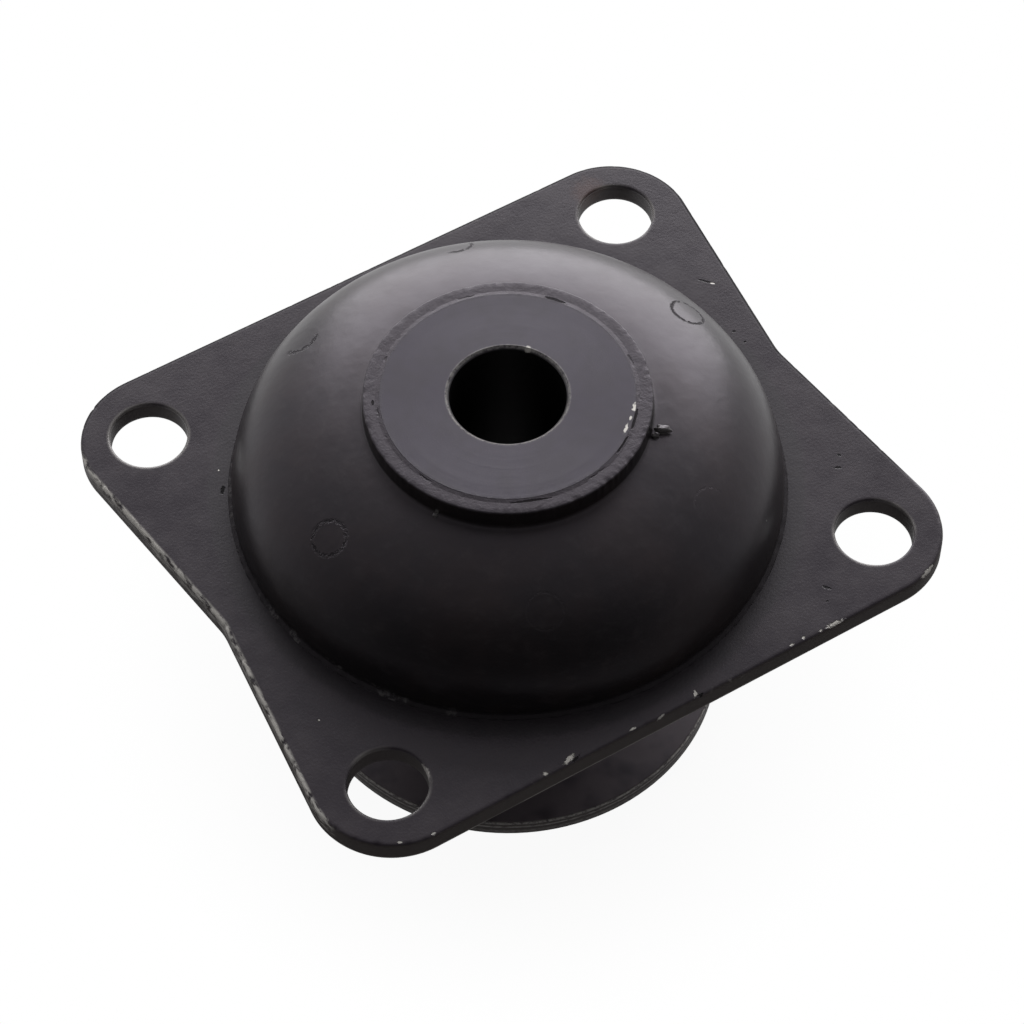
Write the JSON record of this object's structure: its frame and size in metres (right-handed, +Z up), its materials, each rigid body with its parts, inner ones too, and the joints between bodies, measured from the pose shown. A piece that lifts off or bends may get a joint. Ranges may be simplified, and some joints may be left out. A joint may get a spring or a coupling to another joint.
{
  "type": "engine mount",
  "caption": "Dome-shaped rubber engine mount bonded to a waisted four-bolt steel flange and a headed steel sleeve, with a round rebound washer below.",
  "frame": {"origin": "on the axis of the centre bore, in the plane of the flange plate's underside, at the centre of the four bolt holes", "axes": "+Z up along the centre bore towards the sleeve's head; +X along the wider bolt spacing; +Y along the narrower one"},
  "size_m": [0.126, 0.112, 0.0823],
  "materials": {
    "flange_paint": "worn satin black paint on pressed steel",
    "rubber": "moulded black natural rubber, dull satin",
    "sleeve_paint": "satin blue-grey black paint on turned steel",
    "washer_paint": "worn satin black paint on punched steel"
  },
  "bodies": {
    "root": {"flange_plate": "flange_paint", "rubber_body": "rubber", "inner_sleeve": "sleeve_paint", "rebound_washer": "washer_paint"}
  },
  "joints": []
}
